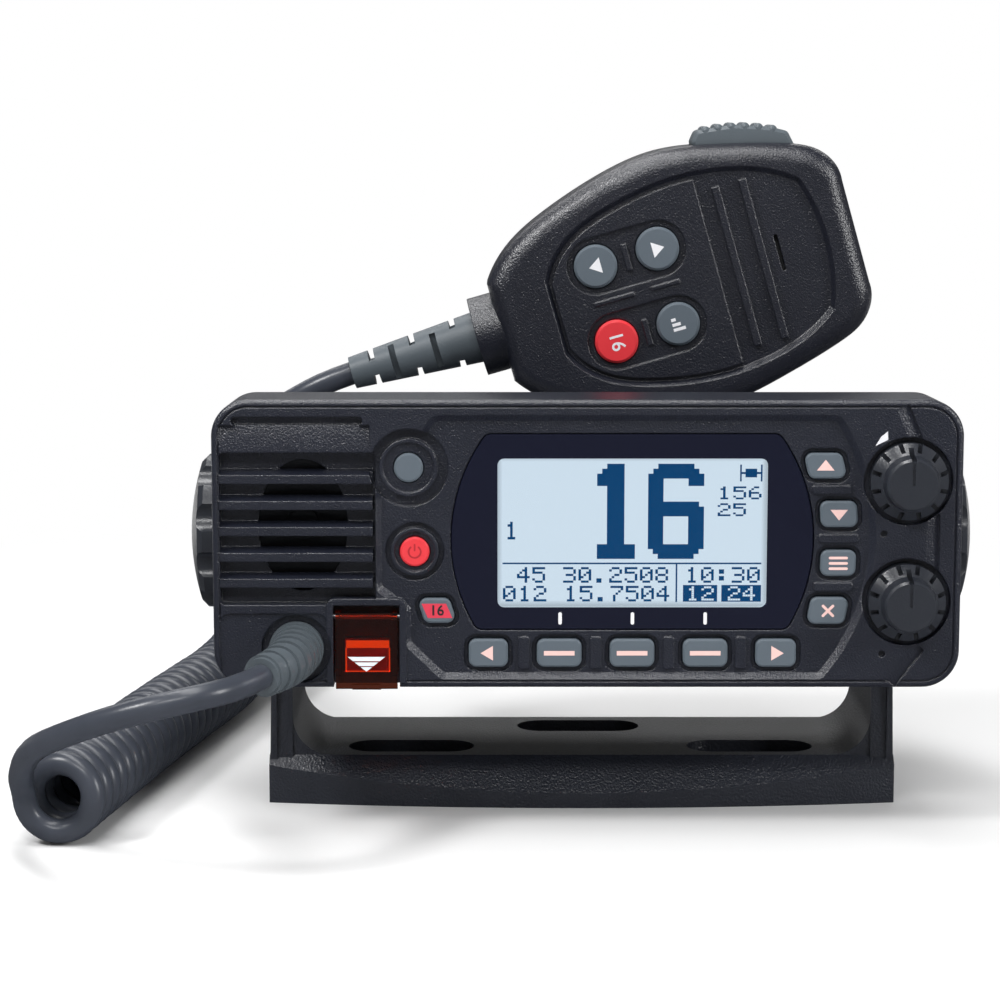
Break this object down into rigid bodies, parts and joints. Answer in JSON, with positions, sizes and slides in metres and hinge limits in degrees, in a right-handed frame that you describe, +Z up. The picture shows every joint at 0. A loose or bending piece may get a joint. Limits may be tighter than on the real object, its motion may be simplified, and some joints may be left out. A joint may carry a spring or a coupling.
{
  "type": "marine radio",
  "caption": "Fixed-mount VHF marine radio on a tilting U bracket, with dials, rubber keys, a display, a hinged distress cover and a hand microphone on a curly cord.",
  "frame": {"origin": "centre of the bracket's foot, on the surface that it stands on", "axes": "+X right as seen from the front, +Y towards the back, +Z up"},
  "size_m": [0.2395, 0.2499, 0.1726],
  "materials": {
    "bracket_plastic": "moulded, fine grain",
    "bezel_plastic": "moulded, fine spark grain",
    "knob_plastic": "moulded, satin",
    "lens": "polished",
    "lcd": "pale backlit display",
    "board": "lacquered circuit board",
    "key_rubber": "soft matt",
    "red_key": "soft matt",
    "red_cover": "clear red",
    "distress_red": "moulded",
    "boot_rubber": "soft matt",
    "seal_rubber": "matt",
    "cord_jacket": "satin jacket",
    "cast_case": "powder coated",
    "steel": "machined",
    "plated_socket": "nickel plated",
    "brass": "machined",
    "speaker_paper": "pressed paper"
  },
  "bodies": {
    "bracket": {"mounting_bracket": "bracket_plastic", "cord_radio_lead": "cord_jacket", "cord_coil": "cord_jacket", "cord_mic_lead": "cord_jacket"},
    "radio": {"front_bezel": "bezel_plastic", "display_window": "lens", "lcd_module": "lcd", "keypad_mat": "key_rubber", "control_board": "board", "potentiometers": "steel", "speaker_frame": "steel", "speaker_cone": "speaker_paper", "speaker_magnet": "steel", "front_gasket": "seal_rubber", "chassis": "cast_case", "case_screws": "steel", "main_board": "board", "pivot_inserts": "brass", "pivot_washers": "seal_rubber", "antenna_socket": "plated_socket", "power_gland": "seal_rubber", "data_gland": "seal_rubber", "radio_boot": "boot_rubber", "distress_hinge_pin": "steel"},
    "microphone": {"mic_front_shell": "bezel_plastic", "mic_rear_shell": "bezel_plastic", "mic_screws": "steel", "mic_board": "board", "mic_capsule": "steel", "mic_hang_stud": "steel", "mic_boot": "boot_rubber"},
    "right_clamp": {"right_clamp_knob": "knob_plastic", "right_clamp_stud": "steel"},
    "left_clamp": {"left_clamp_knob": "knob_plastic", "left_clamp_stud": "steel"},
    "volume": {"volume_knob": "knob_plastic", "volume_shaft": "steel"},
    "squelch": {"squelch_knob": "knob_plastic", "squelch_shaft": "steel"},
    "cover": {"distress_cover": "red_cover"},
    "distress": {"distress_button": "distress_red"},
    "talk": {"mic_ptt": "boot_rubber"},
    "channel_key_body": {"channel_key": "key_rubber"},
    "left_key_body": {"left_key": "key_rubber"},
    "first_soft_key_body": {"first_soft_key": "key_rubber"},
    "second_soft_key_body": {"second_soft_key": "key_rubber"},
    "third_soft_key_body": {"third_soft_key": "key_rubber"},
    "right_key_body": {"right_key": "key_rubber"},
    "up_key_body": {"up_key": "key_rubber"},
    "down_key_body": {"down_key": "key_rubber"},
    "menu_key_body": {"menu_key": "key_rubber"},
    "clear_key_body": {"clear_key": "key_rubber"},
    "round_key_body": {"round_key": "key_rubber"},
    "power_key_body": {"power_key": "red_key"},
    "mic_down_key_body": {"mic_down_key": "key_rubber"},
    "mic_up_key_body": {"mic_up_key": "key_rubber"},
    "mic_channel_key_body": {"mic_channel_key": "red_key"},
    "mic_power_level_key_body": {"mic_power_level_key": "key_rubber"}
  },
  "joints": [
    {"name": "radio_tilt", "type": "hinge", "parent": "bracket", "child": "radio", "pos_m": [0, 0, 0.067], "axis": [1, 0, 0], "range_deg": [-20, 20], "deforming": ["cord_radio_lead", "cord_coil", "cord_mic_lead"]},
    {"name": "right_clamp_turn", "type": "hinge", "parent": "bracket", "child": "right_clamp", "pos_m": [0.09, 0, 0.067], "axis": [1, 0, 0], "range_deg": [-180, 180]},
    {"name": "left_clamp_turn", "type": "hinge", "parent": "bracket", "child": "left_clamp", "pos_m": [-0.09, 0, 0.067], "axis": [-1, 0, 0], "range_deg": [-180, 180]},
    {"name": "volume_turn", "type": "hinge", "parent": "radio", "child": "volume", "pos_m": [0.0769, -0.06, 0.0879], "axis": [0, -1, 0], "range_deg": [-150, 150]},
    {"name": "squelch_turn", "type": "hinge", "parent": "radio", "child": "squelch", "pos_m": [0.0769, -0.06, 0.0586], "axis": [0, -1, 0], "range_deg": [-150, 150]},
    {"name": "channel_key_press", "type": "slide", "parent": "radio", "child": "channel_key_body", "axis": [0, 1, 0], "range_m": [0, 0.0008], "stiffness_N_per_m": 1500},
    {"name": "left_key_press", "type": "slide", "parent": "radio", "child": "left_key_body", "axis": [0, 1, 0], "range_m": [0, 0.0008], "stiffness_N_per_m": 1500},
    {"name": "first_soft_key_press", "type": "slide", "parent": "radio", "child": "first_soft_key_body", "axis": [0, 1, 0], "range_m": [0, 0.0008], "stiffness_N_per_m": 1500},
    {"name": "second_soft_key_press", "type": "slide", "parent": "radio", "child": "second_soft_key_body", "axis": [0, 1, 0], "range_m": [0, 0.0008], "stiffness_N_per_m": 1500},
    {"name": "third_soft_key_press", "type": "slide", "parent": "radio", "child": "third_soft_key_body", "axis": [0, 1, 0], "range_m": [0, 0.0008], "stiffness_N_per_m": 1500},
    {"name": "right_key_press", "type": "slide", "parent": "radio", "child": "right_key_body", "axis": [0, 1, 0], "range_m": [0, 0.0008], "stiffness_N_per_m": 1500},
    {"name": "up_key_press", "type": "slide", "parent": "radio", "child": "up_key_body", "axis": [0, 1, 0], "range_m": [0, 0.0008], "stiffness_N_per_m": 1500},
    {"name": "down_key_press", "type": "slide", "parent": "radio", "child": "down_key_body", "axis": [0, 1, 0], "range_m": [0, 0.0008], "stiffness_N_per_m": 1500},
    {"name": "menu_key_press", "type": "slide", "parent": "radio", "child": "menu_key_body", "axis": [0, 1, 0], "range_m": [0, 0.0008], "stiffness_N_per_m": 1500},
    {"name": "clear_key_press", "type": "slide", "parent": "radio", "child": "clear_key_body", "axis": [0, 1, 0], "range_m": [0, 0.0008], "stiffness_N_per_m": 1500},
    {"name": "round_key_press", "type": "slide", "parent": "radio", "child": "round_key_body", "axis": [0, 1, 0], "range_m": [0, 0.0008], "stiffness_N_per_m": 1500},
    {"name": "power_key_press", "type": "slide", "parent": "radio", "child": "power_key_body", "axis": [0, 1, 0], "range_m": [0, 0.0008], "stiffness_N_per_m": 1500},
    {"name": "distress_cover_lift", "type": "hinge", "parent": "radio", "child": "cover", "pos_m": [-0.0531, -0.0568, 0.0547], "axis": [-1, 0, 0], "range_deg": [0, 100]},
    {"name": "distress_press", "type": "slide", "parent": "radio", "child": "distress", "axis": [0, 1, 0], "range_m": [0, 0.0012], "stiffness_N_per_m": 1500},
    {"name": "mic_lift", "type": "slide", "parent": "radio", "child": "microphone", "axis": [0, 0, 1], "range_m": [0, 0.045], "deforming": ["cord_radio_lead", "cord_coil", "cord_mic_lead"]},
    {"name": "talk_press", "type": "slide", "parent": "microphone", "child": "talk", "axis": [0.2756, 0, -0.9613], "range_m": [0, 0.0025], "stiffness_N_per_m": 1200},
    {"name": "mic_down_key_press", "type": "slide", "parent": "microphone", "child": "mic_down_key_body", "axis": [0, 1, 0], "range_m": [0, 0.0008], "stiffness_N_per_m": 1500},
    {"name": "mic_up_key_press", "type": "slide", "parent": "microphone", "child": "mic_up_key_body", "axis": [0, 1, 0], "range_m": [0, 0.0008], "stiffness_N_per_m": 1500},
    {"name": "mic_channel_key_press", "type": "slide", "parent": "microphone", "child": "mic_channel_key_body", "axis": [0, 1, 0], "range_m": [0, 0.0008], "stiffness_N_per_m": 1500},
    {"name": "mic_power_level_key_press", "type": "slide", "parent": "microphone", "child": "mic_power_level_key_body", "axis": [0, 1, 0], "range_m": [0, 0.0008], "stiffness_N_per_m": 1500}
  ]
}
